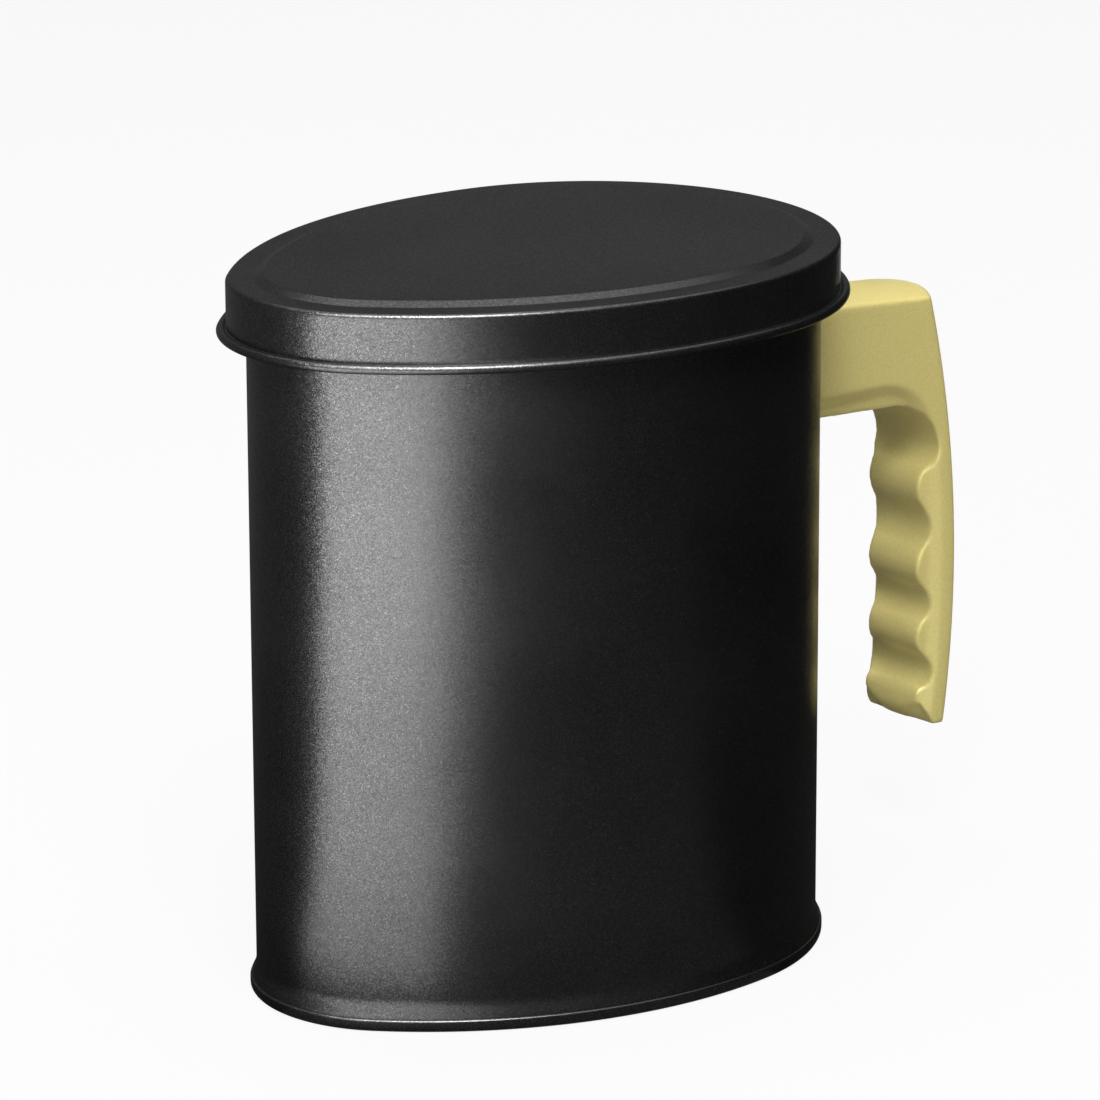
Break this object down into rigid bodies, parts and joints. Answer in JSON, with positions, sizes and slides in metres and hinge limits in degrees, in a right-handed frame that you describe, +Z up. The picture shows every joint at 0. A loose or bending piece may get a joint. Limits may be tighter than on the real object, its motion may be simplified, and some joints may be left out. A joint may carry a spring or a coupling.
{
  "type": "bacon grease container",
  "caption": "Egg-plan sheet-metal grease tin with a slip lid, a lift-out strainer under it and a finger-grooved handle hanging from a bridge at the back.",
  "frame": {"origin": "middle of the footprint of the whole object, handle included, on the plane that the tin stands on", "axes": "+X from the pouring tip towards the handle, +Y to the side, +Z up"},
  "size_m": [0.229, 0.1338, 0.1876],
  "materials": {
    "black_paint": "satin charcoal paint with fine metallic flake",
    "gold_moulding": "satin champagne-gold finish with fine grain",
    "stainless": "brushed stainless sheet",
    "zinc_steel": "zinc-plated steel",
    "brass": "turned brass",
    "seal_rubber": "matte sealing rubber"
  },
  "bodies": {
    "tin": {"body_shell": "black_paint", "base_plate": "black_paint", "base_seam_compound": "seal_rubber", "handle": "gold_moulding", "handle_inserts": "brass", "handle_seal_pad": "seal_rubber", "handle_backing_plate": "zinc_steel", "handle_washers": "zinc_steel", "handle_screws": "zinc_steel"},
    "lid": {"lid": "black_paint"},
    "strainer": {"strainer_frame": "stainless", "strainer_screen": "stainless", "screen_retainer": "stainless", "strainer_tabs": "stainless"}
  },
  "joints": [
    {"name": "lid_lift", "type": "slide", "parent": "tin", "child": "lid", "axis": [0, 0, 1], "range_m": [0, 0.15]},
    {"name": "strainer_lift", "type": "slide", "parent": "tin", "child": "strainer", "axis": [0, 0, 1], "range_m": [0, 0.075]}
  ],
  "couplings": [
    {"joint": "strainer_lift", "follows": "lid_lift", "ratio": 0.5}
  ]
}
